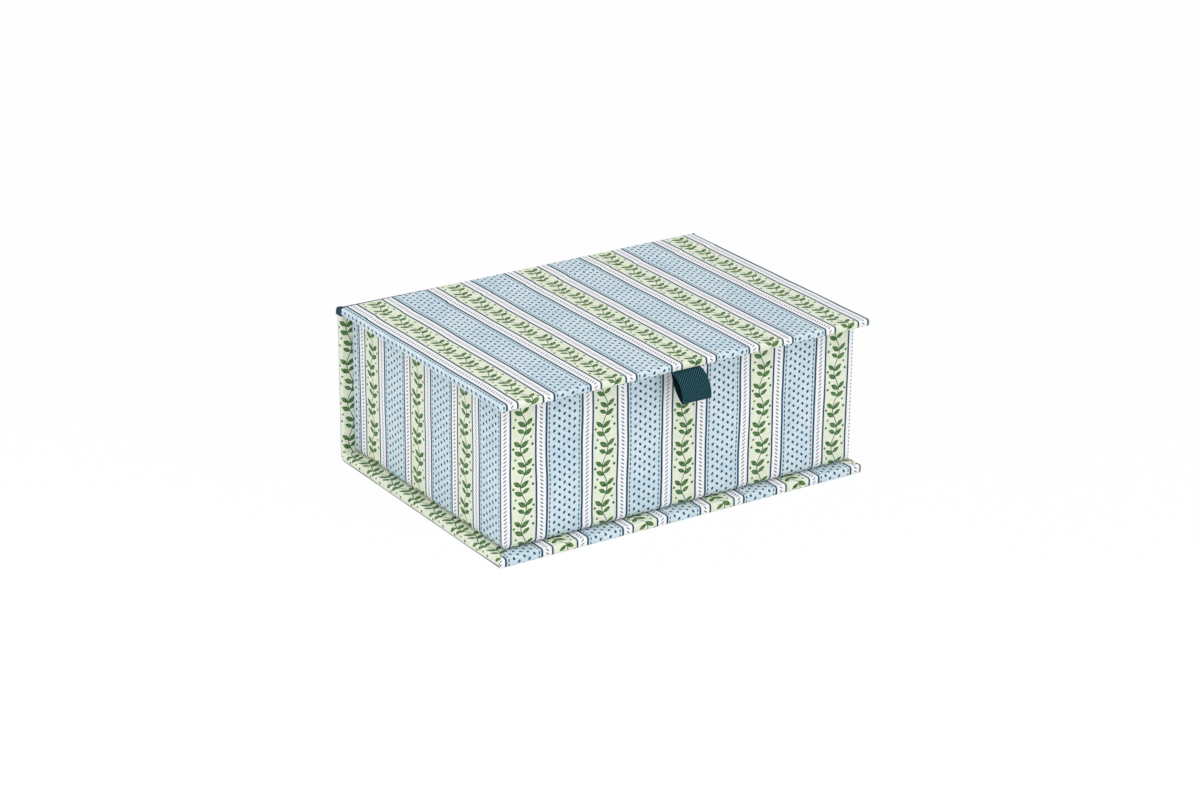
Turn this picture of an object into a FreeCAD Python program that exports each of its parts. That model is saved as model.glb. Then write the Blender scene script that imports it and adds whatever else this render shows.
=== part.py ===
import FreeCAD, Part
import os

V = FreeCAD.Vector

# Keepsake box: a lined paper-covered tray, glued into a book-like case whose lid opens on a cloth hinge.
# Millimetres. +Z up, the front (ribbon side) faces -Y, origin in the middle of the underside of the base.

# Room inside the tray: A5 papers lie flat with a little ease
inside_length = 215.0
inside_width = 149.5
inside_height = 78.0

# Sheet materials
case_board = 3.5
base_board = 4.5
wall_board = 2.0
paper = 0.25
cloth = 0.35
ribbon_thickness = 0.4

# How far the case stands out past the tray
left_square = 6.5
right_square = 3.5
front_square = 6.8
lid_square = 9.0

# Covering
turn_in = 12.0
edge_round = 1.3
foot_round = 4.5
fold_slack = 0.05
rim_round = 0.8

# Lid and hinge
lid_rest_gap = 0.3
hinge_gap = 4.6
cloth_lap = 21.0
cloth_side_inset = 3.0
ridge_ramp = 1.6
lining_lap = 20.0
lining_depth = 40.0
end_tuck = 2.0

# Ribbon pull: two layers of one ribbon, folded at the bottom
ribbon_width = 18.0
ribbon_offset = -3.3
ribbon_ease = 0.2
anchor_length = 18.0
slit_inset = 1.7
stub_drop = 0.7
pull_clearance = 0.35
pull_length = 17.0
pull_lean = 37.0
front_bulge = 3.4
back_bulge = 1.9
fold_radius = 0.6

# Places along X
tray_length = inside_length + 2 * (wall_board + 2 * paper)
case_length = tray_length + left_square + right_square
case_left = -case_length / 2
case_right = case_length / 2
tray_left = case_left + left_square
tray_right = tray_left + tray_length
lining_left = case_left + turn_in
lining_right = case_right - turn_in
lap_left = case_left + cloth_side_inset
lap_right = case_right - cloth_side_inset

# Places along Y
tray_depth = inside_width + 2 * (wall_board + 2 * paper)
base_depth = front_square + tray_depth + cloth + case_board + paper
base_front = -base_depth / 2
case_back = base_depth / 2
spine_outer = case_back - paper
spine_inner = spine_outer - case_board
tray_back = spine_inner - cloth
tray_front = tray_back - tray_depth
lid_front = tray_front - lid_square
lid_back = spine_outer - hinge_gap

# Places along Z
base_board_top = paper + base_board
base_top = base_board_top + paper
floor_board_bottom = base_top + paper
floor_board_top = floor_board_bottom + wall_board
floor_top = floor_board_top + paper
rim = floor_top + inside_height
lid_underside = rim + lid_rest_gap
lid_board_bottom = lid_underside + paper
lid_board_top = lid_board_bottom + case_board
spine_top = lid_board_top - hinge_gap
heel_gap = case_board
spine_bottom = paper + heel_gap

board_round = edge_round - paper + fold_slack
fold_round = edge_round - paper
board_foot = foot_round - paper + fold_slack
fold_foot = foot_round - paper
beyond = 10.0
quarter_turn = 90.0


def block(low, high):
    size = V(*high) - V(*low)
    return Part.makeBox(size.x, size.y, size.z, V(*low))


def lies_on(edge, plane):
    axis, value = plane
    return all(abs(getattr(vertex.Point, axis) - value) < fold_slack / 10 for vertex in edge.Vertexes)


def soft_slab(low, high, radius, square=()):
    """A board or its cover with every edge rounded, except those on the planes named in square."""
    slab = block(low, high)
    soft = [edge for edge in slab.Edges if not any(lies_on(edge, plane) for plane in square)]
    return slab.makeFillet(radius, soft)


def prism(outline, left, right):
    """An outline of (y, z) points, drawn out along X from left to right."""
    points = [V(left, y, z) for y, z in outline]
    face = Part.Face(Part.makePolygon(points + points[:1]))
    return face.extrude(V(right - left, 0, 0))


def quarter_round(radius, left, right, y, z, toward_y, toward_z):
    """A quarter of a rod along X about (y, z), on the side that the two signs give."""
    rod = Part.makeCylinder(radius, right - left, V(left, y, z), V(1, 0, 0))
    low = (left, min(y, y + toward_y * radius), min(z, z + toward_z * radius))
    high = (right, max(y, y + toward_y * radius), max(z, z + toward_z * radius))
    return rod.common(block(low, high))


def save(name, shape):
    shape = shape.removeSplitter()
    assert shape.isValid() and len(shape.Solids) == 1, name
    shape.Solids[0].exportStep("parts/%s.step" % name)


def tray_form(low, high, radius, foot):
    """A block with rounded corners and rim, and a more softly rounded foot all round."""
    form = soft_slab(low, high, radius, (("z", low[2]), ("z", high[2])))
    for ends in ((("x", low[0]), ("x", high[0])), (("y", low[1]), ("y", high[1]))):
        rounded = soft_slab(low, high, radius, ends + (("z", low[2]),))
        across = [edge for edge in rounded.Edges
                  if lies_on(edge, ("z", low[2])) and not any(lies_on(edge, end) for end in ends)]
        form = form.common(rounded.makeFillet(foot, across))
    return form


def tray_core(radius, foot):
    """The space that the tray's boards fill inside their wrap."""
    low = (tray_left + paper, tray_front + paper, floor_board_bottom)
    high = (tray_right - paper, tray_back - paper, rim - paper)
    return tray_form(low, high, radius, foot)


# Where the boards' inner faces and the room inside the tray are
room_left = tray_left + 2 * paper + wall_board
room_right = tray_right - 2 * paper - wall_board
room_front = tray_front + 2 * paper + wall_board
room_back = tray_back - 2 * paper - wall_board
wall_left = room_left - paper
wall_right = room_right + paper
wall_front = room_front - paper
wall_back = room_back + paper


def tray_boards():
    core = tray_core(board_round, board_foot)
    low_z = floor_board_top
    high_z = rim
    side_y = (wall_front, wall_back)
    regions = {
        "tray_floor_board": ((tray_left, tray_front, floor_board_bottom), (tray_right, tray_back, low_z)),
        "tray_front_board": ((tray_left, tray_front, low_z), (tray_right, wall_front, high_z)),
        "tray_back_board": ((tray_left, wall_back, low_z), (tray_right, tray_back, high_z)),
        "tray_left_board": ((tray_left, side_y[0], low_z), (wall_left, side_y[1], high_z)),
        "tray_right_board": ((wall_right, side_y[0], low_z), (tray_right, side_y[1], high_z)),
    }
    for name, (low, high) in regions.items():
        save(name, core.common(block(low, high)))


def tray_wrap():
    """One strip of printed paper round the walls, turned over the rim and under the floor."""
    outer = tray_form((tray_left, tray_front, base_top), (tray_right, tray_back, rim), edge_round, foot_round)
    collar = block((wall_left, wall_front, rim - turn_in), (wall_right, wall_back, rim))
    room = block((room_left, room_front, floor_board_top), (room_right, room_back, rim + beyond))
    under = block((tray_left + turn_in, tray_front + turn_in, base_top - beyond),
                  (tray_right - turn_in, tray_back - turn_in, floor_board_bottom + paper))
    wrap = outer.cut(tray_core(fold_round, fold_foot).cut(collar)).cut(room).cut(under)
    room_sides = (("x", room_left), ("x", room_right), ("y", room_front), ("y", room_back))
    lip = [edge for edge in wrap.Edges
           if lies_on(edge, ("z", rim)) and any(lies_on(edge, side) for side in room_sides)]
    save("tray_wrap_paper", wrap.makeFillet(min(rim_round, (wall_board + paper) / 2), lip))


def tray_linings():
    low_z = floor_top
    high_z = rim - turn_in
    sheets = {
        "tray_front_lining": ((wall_left, wall_front, low_z), (wall_right, room_front, high_z)),
        "tray_back_lining": ((wall_left, room_back, low_z), (wall_right, wall_back, high_z)),
        "tray_left_lining": ((wall_left, room_front, low_z), (room_left, room_back, high_z)),
        "tray_right_lining": ((room_right, room_front, low_z), (wall_right, room_back, high_z)),
        "tray_floor_lining": ((wall_left, wall_front, floor_board_top), (wall_right, wall_back, floor_top)),
    }
    for name, (low, high) in sheets.items():
        save(name, block(low, high))


def base():
    back = ("y", spine_inner)
    low = (case_left + paper, base_front + paper, paper)
    high = (case_right - paper, spine_inner, base_board_top)
    save("base_board", soft_slab(low, high, board_round, (back,)))
    outer = soft_slab((case_left, base_front, 0), (case_right, spine_inner, base_top), edge_round, (back,))
    window = block((case_left + turn_in, base_front + turn_in, base_board_top),
                   (case_right - turn_in, spine_inner + beyond, base_top + beyond))
    save("base_cover_paper", outer.cut(soft_slab(low, high, fold_round, (back,))).cut(window))


def spine():
    """The upright board at the back, its paper, and the rounded heel where the paper turns under."""
    ends = (("z", spine_bottom), ("z", spine_top))
    low = (case_left + paper, spine_inner, spine_bottom)
    high = (case_right - paper, spine_outer, spine_top)
    save("spine_board", soft_slab(low, high, board_round, ends))

    cover_low = (case_left, spine_inner - paper, spine_bottom)
    cover_high = (case_right, case_back, spine_top)
    cover = soft_slab(cover_low, cover_high, edge_round, ends)
    lap_bottom = spine_top - cloth_lap
    ridge = prism([(spine_outer, lap_bottom - ridge_ramp), (case_back, lap_bottom - ridge_ramp),
                   (case_back + cloth, lap_bottom), (case_back + cloth, spine_top), (spine_outer, spine_top)],
                  lap_left - paper, lap_right + paper)
    cover = cover.fuse(ridge).cut(soft_slab(low, high, fold_round, ends))
    cover = cover.cut(block((lap_left, spine_outer, lap_bottom), (lap_right, spine_outer + cloth, spine_top)))
    cover = cover.cut(block((lining_left, spine_inner - beyond, spine_bottom - beyond),
                            (lining_right, spine_inner, spine_top + beyond)))
    # The turn-ins on the inside of the spine stand on those of the base
    cover = cover.cut(block((case_left - beyond, spine_inner - beyond, spine_bottom - beyond),
                            (case_right + beyond, spine_inner, base_top)))

    # The heel is the spine's outer cross-section turned a quarter round under the base
    section = cover_half_section(case_left, case_right, heel_gap + paper, edge_round)
    hollow = cover_half_section(case_left + paper, case_right - paper, heel_gap, fold_round)
    heel = section.cut(hollow).revolve(V(0, spine_inner, spine_bottom), V(1, 0, 0), -quarter_turn)
    save("spine_cover_paper", cover.fuse(heel))


def cover_half_section(left, right, depth, radius):
    """The flat section of the heel at the foot of the spine: a strip with its two outer corners rounded."""
    y0 = spine_inner
    y1 = spine_inner + depth
    z = spine_bottom
    bow = radius * (1 - 0.5 ** 0.5)
    edges = [
        Part.LineSegment(V(left, y0, z), V(left, y1 - radius, z)),
        Part.Arc(V(left, y1 - radius, z), V(left + bow, y1 - bow, z), V(left + radius, y1, z)),
        Part.LineSegment(V(left + radius, y1, z), V(right - radius, y1, z)),
        Part.Arc(V(right - radius, y1, z), V(right - bow, y1 - bow, z), V(right, y1 - radius, z)),
        Part.LineSegment(V(right, y1 - radius, z), V(right, y0, z)),
        Part.LineSegment(V(right, y0, z), V(left, y0, z)),
    ]
    return Part.Face(Part.Wire([edge.toShape() for edge in edges]))


# Where the ribbon's ends go through the paper into the lid
slit_front = lid_front + slit_inset
slit_back = slit_front + 2 * ribbon_thickness
ribbon_left = ribbon_offset - ribbon_width / 2
ribbon_right = ribbon_offset + ribbon_width / 2


def lid():
    back = ("y", lid_back)
    low = (case_left + paper, lid_front + paper, lid_board_bottom)
    high = (case_right - paper, lid_back, lid_board_top)
    recess = block((ribbon_left - ribbon_ease, slit_front - ribbon_ease, lid_board_bottom - beyond),
                   (ribbon_right + ribbon_ease, slit_front + anchor_length + ribbon_ease,
                    lid_board_bottom + 2 * ribbon_thickness))
    save("lid_board", soft_slab(low, high, board_round, (back,)).cut(recess))

    cover = soft_slab((case_left, lid_front, lid_underside), (case_right, lid_back, lid_board_top + paper),
                      edge_round, (back,))
    lap_front = lid_back - cloth_lap
    cover_top = lid_board_top + paper
    ridge = prism([(lap_front - ridge_ramp, lid_board_top), (lap_front - ridge_ramp, cover_top),
                   (lap_front, cover_top + cloth), (lid_back, cover_top + cloth), (lid_back, lid_board_top)],
                  lap_left - paper, lap_right + paper)
    cover = cover.fuse(ridge).cut(soft_slab(low, high, fold_round, (back,)))
    cover = cover.cut(block((lap_left, lap_front, lid_board_top), (lap_right, lid_back, lid_board_top + cloth)))
    cover = cover.cut(block((lining_left, lid_front + turn_in, lid_underside - beyond),
                            (lining_right, lid_back + beyond, lid_board_bottom)))
    slit = block((ribbon_left - ribbon_ease, slit_front - ribbon_ease, lid_underside - beyond),
                 (ribbon_right + ribbon_ease, slit_back + ribbon_ease, lid_board_bottom + paper))
    save("lid_cover_paper", cover.cut(slit))

    save("lid_lining_paper", block((lining_left, lid_front + turn_in, lid_underside),
                                   (lining_right, lid_back - lining_lap, lid_board_bottom)))


def hinge():
    """Cloth on the outside of lid and spine, a second cloth pressed into the gap from the inside."""
    web_left = case_left + paper
    web_right = case_right - paper
    web = quarter_round(hinge_gap + cloth, web_left, web_right, lid_back, spine_top, 1, 1)
    web = web.cut(quarter_round(hinge_gap, web_left + end_tuck, web_right - end_tuck, lid_back, spine_top, 1, 1))
    on_lid = block((lap_left, lid_back - cloth_lap, lid_board_top), (lap_right, lid_back, lid_board_top + cloth))
    on_spine = block((lap_left, spine_outer, spine_top - cloth_lap), (lap_right, spine_outer + cloth, spine_top))
    save("hinge_cloth", web.fuse([on_lid, on_spine]))

    bend = quarter_round(hinge_gap, lining_left, lining_right, lid_back, spine_top, 1, 1)
    bend = bend.cut(quarter_round(hinge_gap - cloth, lining_left, lining_right, lid_back, spine_top, 1, 1))
    legs = [
        block((lining_left, lid_back - lining_lap, lid_board_bottom - cloth),
              (lining_right, lid_back + cloth, lid_board_bottom)),
        block((lining_left, lid_back, lid_board_bottom - cloth),
              (lining_right, lid_back + cloth, lid_board_top - cloth)),
        block((lining_left, spine_inner - cloth, spine_top),
              (lining_right, spine_outer - cloth, spine_top + cloth)),
        block((lining_left, spine_inner - cloth, spine_top - lining_depth),
              (lining_right, spine_inner, spine_top + cloth)),
    ]
    save("hinge_lining_cloth", bend.fuse(legs))


def ribbon():
    """The glued ends in the lid, and the folded pull that swings under the lid's front edge."""
    flat = block((ribbon_left, slit_front, lid_board_bottom),
                 (ribbon_right, slit_front + anchor_length, lid_board_bottom + 2 * ribbon_thickness))
    stub = block((ribbon_left, slit_front, lid_underside - stub_drop),
                 (ribbon_right, slit_back, lid_board_bottom + ribbon_thickness))
    save("ribbon_anchor", flat.fuse(stub))

    # Side view of the pull, first hanging straight down from its root, then leant out to its resting angle
    head = ribbon_thickness
    root_y = slit_front - pull_clearance - head
    root_z = lid_underside - stub_drop
    half = ribbon_thickness / 2
    foot = -pull_length + fold_radius + half
    outer = pull_outline(head, foot, front_bulge + half, back_bulge + half, fold_radius + half)
    inner = pull_outline(head - half, foot, front_bulge - half, back_bulge - half, fold_radius - half)
    loop = outer.cut(inner).extrude(V(ribbon_width, 0, 0))
    crown = Part.makeCylinder(head, ribbon_width, V(0, 0, 0), V(1, 0, 0))
    pull = loop.fuse(crown)
    pull.rotate(V(0, 0, 0), V(1, 0, 0), -pull_lean)
    pull.translate(V(ribbon_left, root_y, root_z))
    save("ribbon_pull", pull)


def pull_outline(head, foot, front, back, fold):
    """Front and back layers bow apart between the root at z = 0 and the fold at the foot."""
    middle = foot / 2
    edges = [
        Part.Arc(V(0, -head, 0), V(0, -front, middle), V(0, -fold, foot)),
        Part.Arc(V(0, -fold, foot), V(0, 0, foot - fold), V(0, fold, foot)),
        Part.Arc(V(0, fold, foot), V(0, back, middle), V(0, head, 0)),
        Part.LineSegment(V(0, head, 0), V(0, -head, 0)),
    ]
    return Part.Face(Part.Wire([edge.toShape() for edge in edges]))


os.makedirs("parts", exist_ok=True)
tray_boards()
tray_wrap()
tray_linings()
base()
spine()
lid()
hinge()
ribbon()
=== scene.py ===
import bpy
import bmesh
import math
import numpy as np
from mathutils import Matrix, Vector


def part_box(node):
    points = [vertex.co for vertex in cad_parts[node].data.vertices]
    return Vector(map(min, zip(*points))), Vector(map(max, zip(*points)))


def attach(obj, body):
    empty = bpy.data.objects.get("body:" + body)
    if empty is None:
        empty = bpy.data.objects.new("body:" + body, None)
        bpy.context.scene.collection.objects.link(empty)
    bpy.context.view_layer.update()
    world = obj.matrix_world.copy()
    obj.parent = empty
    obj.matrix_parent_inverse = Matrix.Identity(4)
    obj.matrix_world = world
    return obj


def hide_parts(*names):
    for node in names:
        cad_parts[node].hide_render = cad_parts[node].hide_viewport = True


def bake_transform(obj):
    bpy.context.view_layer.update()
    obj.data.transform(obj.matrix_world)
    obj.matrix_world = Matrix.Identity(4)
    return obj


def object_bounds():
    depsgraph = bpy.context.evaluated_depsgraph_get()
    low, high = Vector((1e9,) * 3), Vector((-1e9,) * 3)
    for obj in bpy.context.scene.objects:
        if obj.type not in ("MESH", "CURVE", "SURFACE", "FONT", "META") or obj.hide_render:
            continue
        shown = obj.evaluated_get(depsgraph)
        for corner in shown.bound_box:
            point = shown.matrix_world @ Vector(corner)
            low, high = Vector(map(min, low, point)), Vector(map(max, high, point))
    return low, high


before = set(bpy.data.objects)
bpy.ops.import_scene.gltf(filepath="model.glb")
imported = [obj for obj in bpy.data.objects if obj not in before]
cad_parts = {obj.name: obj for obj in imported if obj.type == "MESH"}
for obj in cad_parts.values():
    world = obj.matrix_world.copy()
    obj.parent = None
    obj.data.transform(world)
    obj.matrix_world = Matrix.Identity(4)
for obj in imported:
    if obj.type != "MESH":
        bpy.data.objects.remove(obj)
cadLow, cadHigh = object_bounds()
mm = 0.001
print("frame loaded, box", [round(v / mm, 1) for v in cadHigh - cadLow], "mm")

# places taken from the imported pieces, in metres
lidLow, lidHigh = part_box("lid_cover_paper")
lidBoardLow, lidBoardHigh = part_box("lid_board")
baseLow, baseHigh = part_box("base_cover_paper")
spineLow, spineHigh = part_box("spine_board")
trayLow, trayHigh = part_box("tray_wrap_paper")
hingeLow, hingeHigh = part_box("hinge_cloth")
liningLow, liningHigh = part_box("hinge_lining_cloth")
anchorLow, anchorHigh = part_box("ribbon_anchor")
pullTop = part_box("ribbon_pull")[1].z


def srgb(red, green, blue):
    # an 8-bit colour as Blender's linear colour
    def linear(value):
        value = value / 255
        return value / 12.92 if value <= 0.04045 else ((value + 0.055) / 1.055) ** 2.4
    return (linear(red), linear(green), linear(blue), 1.0)


class Wire:
    # a socket that can be used in sums; every other node comes from node()
    def __init__(self, tree, socket=None):
        self.tree = tree
        self.socket = socket

    def node(self, kind, settings=None, sockets=None, out=0):
        made = self.tree.nodes.new(kind)
        for name, value in (settings or {}).items():
            setattr(made, name, value)
        for name, value in (sockets or {}).items():
            if isinstance(value, Wire):
                self.tree.links.new(value.socket, made.inputs[name])
            else:
                made.inputs[name].default_value = value
        return Wire(self.tree, made.outputs[out] if made.outputs else None)

    def maths(self, operation, *values):
        return self.node("ShaderNodeMath", {"operation": operation}, dict(enumerate(values)))

    def __add__(self, other):
        return self.maths("ADD", self, other)

    def __sub__(self, other):
        return self.maths("SUBTRACT", self, other)

    def __rsub__(self, other):
        return self.maths("SUBTRACT", other, self)

    def __mul__(self, other):
        return self.maths("MULTIPLY", self, other)

    def __truediv__(self, other):
        return self.maths("DIVIDE", self, other)

    def __mod__(self, other):
        return self.maths("FLOORED_MODULO", self, other)

    def __abs__(self):
        return self.maths("ABSOLUTE", self)

    __radd__ = __add__
    __rmul__ = __mul__

    def highest(self, other):
        return self.maths("MAXIMUM", self, other)

    def sine(self):
        return self.maths("SINE", self)

    def floor(self):
        return self.maths("FLOOR", self)

    def root(self):
        return self.maths("SQRT", self)

    def part(self, axis):
        return self.node("ShaderNodeSeparateXYZ", {}, {0: self}, axis)

    def offMultiple(self, pitch):
        # how far from the nearest multiple of pitch
        return self.maths("PINGPONG", self, pitch / 2)

    def step(self, low, high):
        # 0 below low, 1 above high, smooth between
        return self.node("ShaderNodeMapRange", {"interpolation_type": "SMOOTHSTEP"},
                         {"Value": self, "From Min": low, "From Max": high})

    def noise(self, vector, scale, detail=2.0, rough=0.5):
        # about 0.5 on average
        return self.node("ShaderNodeTexNoise", {}, {"Vector": vector, "Scale": scale, "Detail": detail,
                                                     "Roughness": rough})

    def blend(self, under, over):
        # the colour over, as far as this mask is 1
        return self.node("ShaderNodeMix", {"data_type": "RGBA"}, {0: self, 6: under, 7: over}, 2)


def placed(name, data):
    # a new object in the scene
    made = bpy.data.objects.new(name, data)
    bpy.context.scene.collection.objects.link(made)
    return made


def newMaterial(name):
    material = bpy.data.materials.new(name)
    material.use_nodes = True
    material.node_tree.nodes.clear()
    return material, Wire(material.node_tree)


def finishMaterial(wire, look, colour, rough, height, more=None):
    # gloss and bump as the look says
    bump = wire.node("ShaderNodeBump", {}, {**look["bump"], "Height": height})
    shader = wire.node("ShaderNodeBsdfPrincipled", {},
                       {"Base Color": colour, "Roughness": look["roughness"] + rough, "Normal": bump,
                        "Specular IOR Level": look["gloss"], **(more or {})})
    wire.node("ShaderNodeOutputMaterial", {}, {"Surface": shader})


def inMillimetres(wire, vector):
    # a flat coordinate in metres as vector, across and along in millimetres
    flat = wire.node("ShaderNodeVectorMath", {"operation": "SCALE"}, {0: vector, "Scale": 1 / mm})
    return flat, flat.part(0), flat.part(1)


# the printed paper: green, white and blue stripes, in millimetres
printed = {
    "repeat": 49.2, "greenHalf": 7.6, "blueFrom": 13.95, "soft": 0.1,
    "greenLine": 0.54, "blueLine": 0.6,
    "stitchAt": 15.7, "stitchHalf": 0.36, "stitchPitch": 2.6, "stitchReach": 0.85,
    "white": srgb(238, 238, 240), "green": srgb(225, 230, 212), "blue": srgb(209, 223, 228),
    "blueWash": srgb(181, 203, 215), "greenWash": srgb(209, 218, 191),
    "navy": srgb(0, 64, 92), "grainBlue": srgb(0, 66, 110), "slate": srgb(44, 62, 84),
    "leafDark": srgb(44, 88, 42), "leafLight": srgb(112, 150, 88),
    "wobble": 1.5, "bite": 0.26, "washInBlue": 0.55, "cloudInBlue": 0.35, "washInGreen": 0.6,
    "wornAway": 0.16, "rubbedAway": 0.5,
    # each noise: scale, detail, roughness; each cut: where its mask starts and where it is full
    "wobbleNoise": (0.03, 1.0), "biteNoise": (0.9, 3.0, 0.6),
    "washNoise": (0.3, 4.0, 0.66), "washCut": (0.4, 0.66),
    "cloudNoise": (0.035, 2.0), "cloudCut": (0.4, 0.65),
    "wornNoise": (1.6, 4.0, 0.65), "wornCut": (0.28, 0.5),
    "rubNoise": (2.2, 4.0, 0.7), "rubCut": (0.5, 0.72),
    "fibreNoise": (5.5, 4.0, 0.6), "feltNoise": (0.5, 3.0),
    "fibreRise": 0.35, "feltRise": 1.2, "inkRise": 0.12, "bump": {"Strength": 0.18, "Distance": 0.12 * mm},
    "roughness": 0.56, "fibreRough": 0.12, "inkSmooth": 0.05, "gloss": 0.1,
}
sprig = {
    "half": 11.0, "sway": 1.7, "stem": 0.26, "clear": 0.7, "bite": 0.5,
    "leaves": [(0.5, 0.9, 5.6, 2.5, 58), (0.8, 2.0, 5.0, 2.2, -60),
               (1.7, 5.3, 6.0, 2.6, -56), (1.6, 6.0, 5.2, 2.4, 50)],  # base u, v, reach, width, turn
    "berries": [(-5.6, 6.2, 0.75), (-4.6, 10.3, 0.6), (5.9, 5.5, 0.7)],  # middle u, v, radius
    "toneCut": (0.15, 0.7), "tone": 0.75, "fleckNoise": (0.8, 3.0), "fleckCut": (0.35, 0.6),
}
grain = {"across": 3.0, "along": 4.2, "halfWidth": 0.7, "halfLength": 1.0, "turn": 32, "from": 17.2,
         "edgeCut": (-0.12, 0.2)}
rope = {"at": 10.8, "pitch": 2.1, "half": 0.38, "reach": 0.85, "slant": 0.75, "strength": 0.92}


def leafShape(u, v, leaf):
    # how far inside the leaf a point is, negative outside
    baseU, baseV, reach, width, turn = leaf
    du, dv = math.sin(math.radians(turn)), math.cos(math.radians(turn))
    along = ((u - baseU) * du + (v - baseV) * dv) / reach
    beside = (u - baseU) * dv - (v - baseV) * du
    return along * (1 - along) * (2 * width) - abs(beside)


def berryShape(u, v, berry):
    atU, atV, radius = berry
    du, dv = u - atU, v - atV
    return radius - (du * du + dv * dv).root()


def printedPaper():
    material, wire = newMaterial("stripedPaper")
    p = printed
    flat, across, along = inMillimetres(wire, wire.node("ShaderNodeUVMap", {"uv_map": "print"}))
    hand = (wire.noise(flat, *p["wobbleNoise"]) - 0.5) * p["wobble"]
    bite = (wire.noise(flat, *p["biteNoise"]) - 0.5) * p["bite"]
    s = across + hand
    aside = s.offMultiple(p["repeat"]) + bite
    soft = p["soft"]

    def inked(distance):
        # 1 inside, 0 outside, with a soft printed edge
        return distance.step(-soft, soft)

    # fields, washed unevenly
    wash = wire.noise(flat, *p["washNoise"]).step(*p["washCut"])
    cloud = wire.noise(flat, *p["cloudNoise"]).step(*p["cloudCut"])
    blueField = (wash * p["washInBlue"] + cloud * p["cloudInBlue"]).blend(p["blue"], p["blueWash"])
    greenField = (wash * p["washInGreen"]).blend(p["green"], p["greenWash"])
    colour = inked(aside - p["greenHalf"]).blend(greenField, p["white"])
    colour = inked(aside - p["blueFrom"]).blend(colour, blueField)

    # slanted dashes down the white band
    off = aside - rope["at"]
    dash = (along + off * rope["slant"]).offMultiple(rope["pitch"])
    ropeMask = inked(rope["half"] - dash) * inked(rope["reach"] - abs(off))
    colour = (ropeMask * rope["strength"]).blend(colour, p["slate"])

    # a swaying stem with alternate leaves and berries, turned over every half repeat
    g = sprig
    u = (s + p["repeat"] / 2) % p["repeat"] - p["repeat"] / 2
    v = along + bite
    turnOver = (v / g["half"]).floor() % 2.0
    u = u * (1 - turnOver * 2)
    v = v % g["half"]
    shape = g["stem"] - abs(u - (v * (math.pi / g["half"])).sine() * g["sway"])
    for leaf in g["leaves"]:
        shape = shape.highest(leafShape(u, v, leaf))
    for berry in g["berries"]:
        shape = shape.highest(berryShape(u, v, berry))
    shape = shape + bite * g["bite"]
    leafMask = inked(shape) * inked(p["greenHalf"] - g["clear"] - aside)
    fleck = wire.noise(flat, *g["fleckNoise"]).step(*g["fleckCut"])
    leafTone = shape.step(*g["toneCut"]) * g["tone"] * fleck
    colour = leafMask.blend(colour, leafTone.blend(p["leafDark"], p["leafLight"]))

    # rows of small grains in the blue, alternate rows half a step on and leaning the other way
    n = grain
    b = s % p["repeat"] - p["repeat"] / 2
    row = (b / n["across"] + 0.5).floor()
    odd = row % 2.0
    lean = 1 - odd * 2
    c = b - row * n["across"]
    d = (along + odd * (n["along"] / 2)) % n["along"] - n["along"] / 2
    turn = math.radians(n["turn"])
    short = (c * math.cos(turn) - lean * d * math.sin(turn)) / n["halfWidth"]
    long = (lean * c * math.sin(turn) + d * math.cos(turn)) / n["halfLength"]
    seed = (1 - short * short - long * long + bite).step(*n["edgeCut"]) * inked(aside - n["from"])
    worn = wire.noise(flat, *p["wornNoise"]).step(*p["wornCut"]) * p["wornAway"] + (1 - p["wornAway"])
    colour = (seed * worn).blend(colour, p["grainBlue"])

    # border lines, and a running stitch inside the blue
    stitch = inked(p["stitchReach"] - along.offMultiple(p["stitchPitch"]))
    ink = inked(p["greenLine"] - abs(aside - p["greenHalf"]))
    ink = ink.highest(inked(p["blueLine"] - abs(aside - p["blueFrom"])))
    ink = ink.highest(inked(p["stitchHalf"] - abs(aside - p["stitchAt"])) * stitch)
    colour = (ink * worn).blend(colour, p["navy"])
    ink = ink.highest(seed).highest(leafMask)

    # rubbed pale along the folds
    rubbed = wire.node("ShaderNodeAttribute", {"attribute_name": "fold"}, {}, "Fac")
    rubbed = rubbed * wire.noise(flat, *p["rubNoise"]).step(*p["rubCut"]) * p["rubbedAway"]
    colour = rubbed.blend(colour, p["white"])
    fibre = wire.noise(flat, *p["fibreNoise"])
    felt = wire.noise(flat, *p["feltNoise"])
    height = fibre * p["fibreRise"] + felt * p["feltRise"] + ink * p["inkRise"]
    finishMaterial(wire, p, colour, fibre * p["fibreRough"] - ink * p["inkSmooth"], height)
    return material


paperLook = {
    "fineNoise": (2600.0, 3.0, 0.6), "cloudNoise": (90.0, 3.0), "cloudCut": (0.35, 0.7), "cloud": 0.4,
    "fibreNoise": (700.0, 4.0, 0.7), "fibreCut": (0.62, 0.72), "fibre": 0.35,
    "bump": {"Strength": 0.15, "Distance": 0.1 * mm}, "roughness": 0.68, "fineRough": 0.12, "gloss": 0.3,
}


def plainPaper(name, tint, fleck):
    # plain paper with faint clouds and fibres
    material, wire = newMaterial(name)
    p = paperLook
    place = wire.node("ShaderNodeTexCoord", {}, {}, "Object")
    fine = wire.noise(place, *p["fineNoise"])
    cloud = wire.noise(place, *p["cloudNoise"])
    fibre = wire.noise(place, *p["fibreNoise"]).step(*p["fibreCut"]) * p["fibre"]
    colour = (cloud.step(*p["cloudCut"]) * p["cloud"]).blend(tint, fleck)
    colour = fibre.blend(colour, fleck)
    finishMaterial(wire, p, colour, fine * p["fineRough"], fine + cloud)
    return material


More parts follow.
